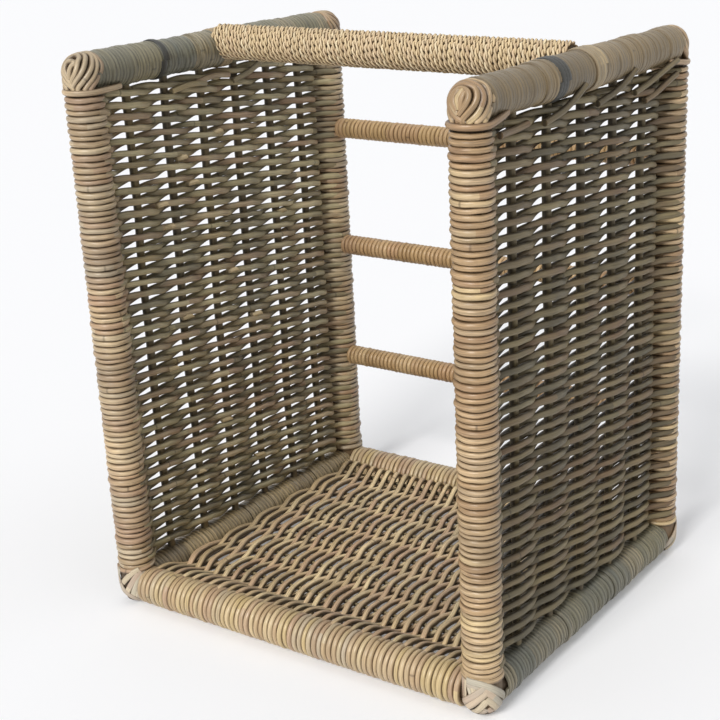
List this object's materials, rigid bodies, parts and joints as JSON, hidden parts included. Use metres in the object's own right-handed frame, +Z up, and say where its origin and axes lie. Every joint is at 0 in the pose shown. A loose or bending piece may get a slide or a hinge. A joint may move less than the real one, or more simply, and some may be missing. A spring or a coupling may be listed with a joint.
{
  "type": "magazine rack",
  "caption": "Open magazine rack with wrapped rattan posts, twined side panels and base, wrapped rungs across the back and a rope-wound carrying handle.",
  "frame": {"origin": "on the floor, under the middle of the rack", "axes": "+Z up, front (open side) towards -Y, +X to the right as seen from the front"},
  "size_m": [0.3838, 0.3398, 0.4748],
  "materials": {
    "rattan_pole": "satin",
    "round_strand": "satin",
    "weaving_strand": "satin",
    "stake_core": "satin",
    "flat_cane": "satin",
    "twisted_rope": "matte"
  },
  "bodies": {
    "root": {"post_front_left": "rattan_pole", "post_coil_front_left": "round_strand", "corner_cap_front_left": "round_strand", "corner_knot_front_left": "flat_cane", "post_back_left": "rattan_pole", "post_coil_back_left": "round_strand", "corner_cap_back_left": "round_strand", "corner_knot_back_left": "flat_cane", "top_rail_left": "rattan_pole", "top_rail_wrap_left": "flat_cane", "bottom_rail_left": "rattan_pole", "bottom_rail_wrap_left": "flat_cane", "stake_left_1": "stake_core", "stake_left_2": "stake_core", "stake_left_3": "stake_core", "stake_left_4": "stake_core", "stake_left_5": "stake_core", "stake_left_6": "stake_core", "weave_left": "weaving_strand", "handle_lashing_left": "flat_cane", "post_front_right": "rattan_pole", "post_coil_front_right": "round_strand", "corner_cap_front_right": "round_strand", "corner_knot_front_right": "flat_cane", "post_back_right": "rattan_pole", "post_coil_back_right": "round_strand", "corner_cap_back_right": "round_strand", "corner_knot_back_right": "flat_cane", "top_rail_right": "rattan_pole", "top_rail_wrap_right": "flat_cane", "bottom_rail_right": "rattan_pole", "bottom_rail_wrap_right": "flat_cane", "stake_right_1": "stake_core", "stake_right_2": "stake_core", "stake_right_3": "stake_core", "stake_right_4": "stake_core", "stake_right_5": "stake_core", "weave_right": "weaving_strand", "handle_lashing_right": "flat_cane", "bottom_rail_front": "rattan_pole", "bottom_rail_coil_front": "round_strand", "bottom_rail_back": "rattan_pole", "bottom_rail_coil_back": "round_strand", "stake_base_1": "stake_core", "stake_base_2": "stake_core", "stake_base_3": "stake_core", "stake_base_4": "stake_core", "stake_base_5": "stake_core", "stake_base_6": "stake_core", "weave_base": "weaving_strand", "rung_lower": "rattan_pole", "rung_coil_lower": "round_strand", "rung_middle": "rattan_pole", "rung_coil_middle": "round_strand", "rung_upper": "rattan_pole", "rung_coil_upper": "round_strand", "handle_bar": "rattan_pole", "handle_rope": "twisted_rope"}
  },
  "joints": []
}
